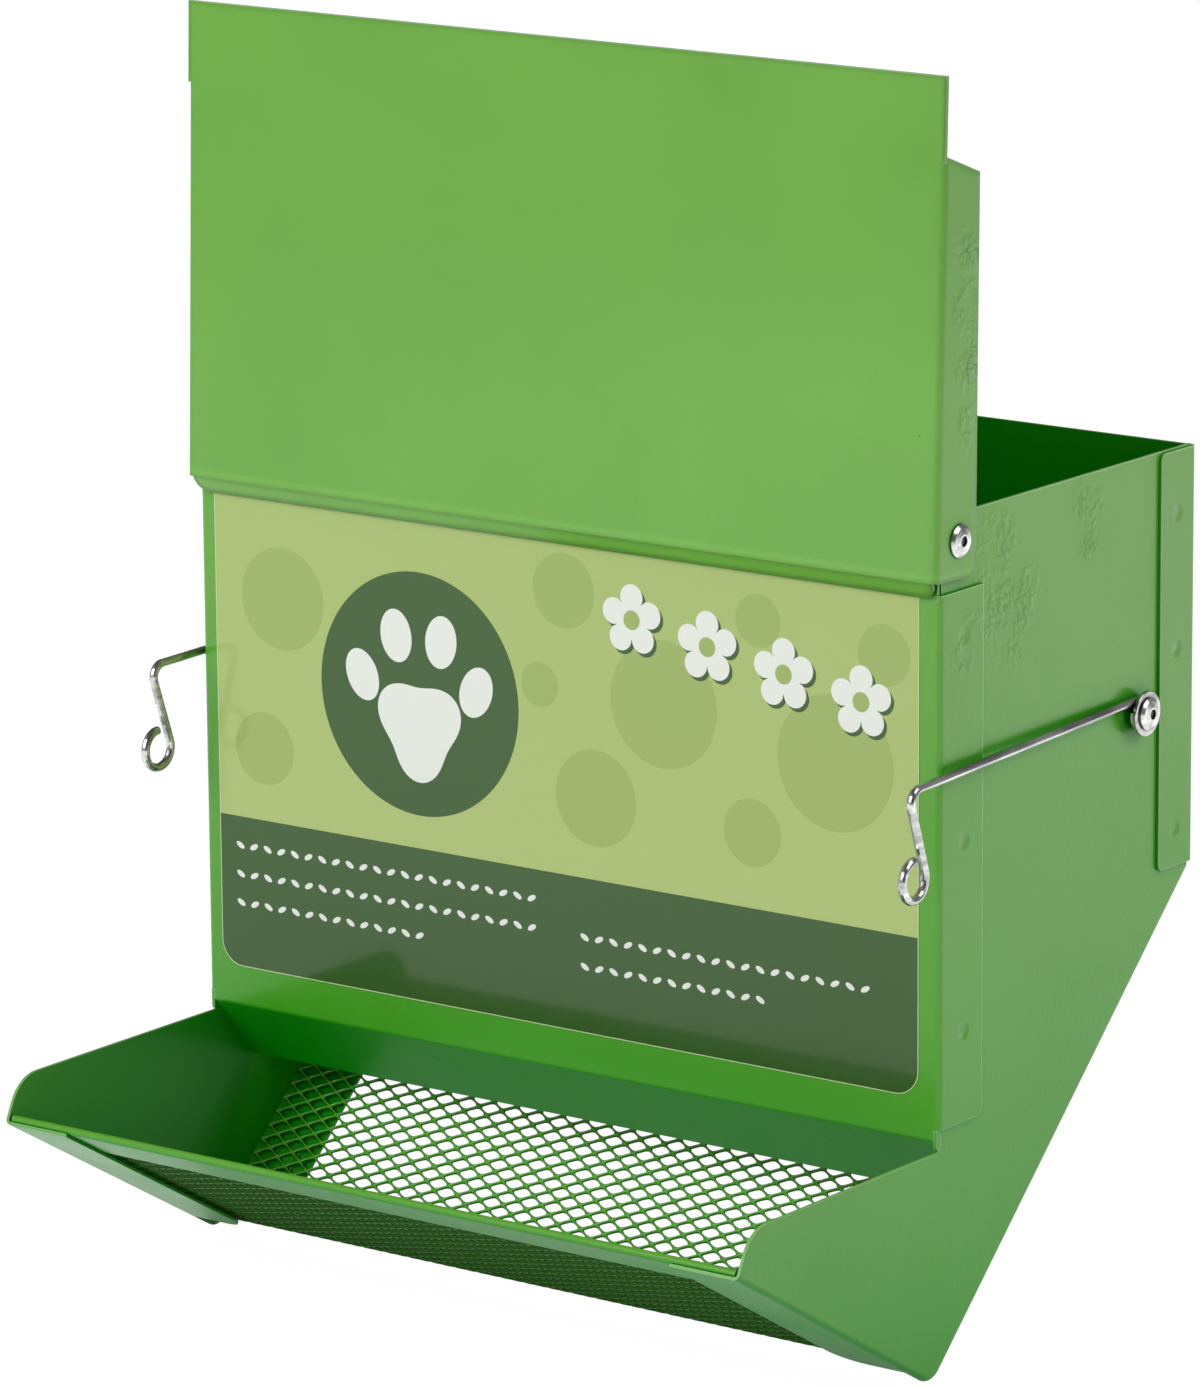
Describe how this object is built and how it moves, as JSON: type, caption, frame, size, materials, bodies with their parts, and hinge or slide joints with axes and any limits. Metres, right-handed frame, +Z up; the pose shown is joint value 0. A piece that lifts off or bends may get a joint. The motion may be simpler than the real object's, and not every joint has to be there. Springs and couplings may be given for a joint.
{
  "type": "small animal feeder",
  "caption": "Painted sheet-metal hopper feeder that hangs on a pet cage: hinged lid, sloping mesh floor that sifts out dust, open trough in front and swinging wire hooks.",
  "frame": {"origin": "on the front face of the front panel, midway between the sides, just under the label, where the trough passes through the cage wall", "axes": "+Z up, +X to the right of someone facing the label, +Y back through the hopper, so the trough reaches out along -Y"},
  "size_m": [0.2492, 0.2052, 0.3365],
  "materials": {
    "body_paint": "satin green powder coat on sheet steel",
    "mesh_paint": "dark green powder coat on expanded metal",
    "label_film": "glossy printed film",
    "rivet": "bright aluminium",
    "mandrel": "broken steel stub",
    "zinc": "bright zinc plate"
  },
  "bodies": {
    "body": {"front_panel": "body_paint", "rear_panel": "body_paint", "left_side_panel": "body_paint", "right_side_panel": "body_paint", "trough_lip": "body_paint", "sifter_mesh_front": "mesh_paint", "sifter_mesh_bend": "mesh_paint", "sifter_mesh_rear": "mesh_paint", "label": "label_film", "lid_rivet_left": "rivet", "lid_rivet_right": "rivet", "hook_rivet_left": "rivet", "hook_rivet_right": "rivet", "lid_rivet_mandrel_left": "mandrel", "lid_rivet_mandrel_right": "mandrel", "hook_rivet_mandrel_left": "mandrel", "hook_rivet_mandrel_right": "mandrel", "hook_washer_left": "zinc", "hook_washer_right": "zinc"},
    "lid": {"lid": "body_paint"},
    "hook_left": {"hook_left": "zinc"},
    "hook_right": {"hook_right": "zinc"}
  },
  "joints": [
    {"name": "lid_hinge", "type": "hinge", "parent": "body", "child": "lid", "pos_m": [0, 0.0066, 0.1485], "axis": [1, 0, 0], "range_deg": [-89.3, 0]},
    {"name": "hook_left_pivot", "type": "hinge", "parent": "body", "child": "hook_left", "pos_m": [-0.1206, 0.0918, 0.0878], "axis": [1, 0, 0], "range_deg": [-32, 112]},
    {"name": "hook_right_pivot", "type": "hinge", "parent": "body", "child": "hook_right", "pos_m": [0.1206, 0.0918, 0.0878], "axis": [1, 0, 0], "range_deg": [-32, 112]}
  ]
}
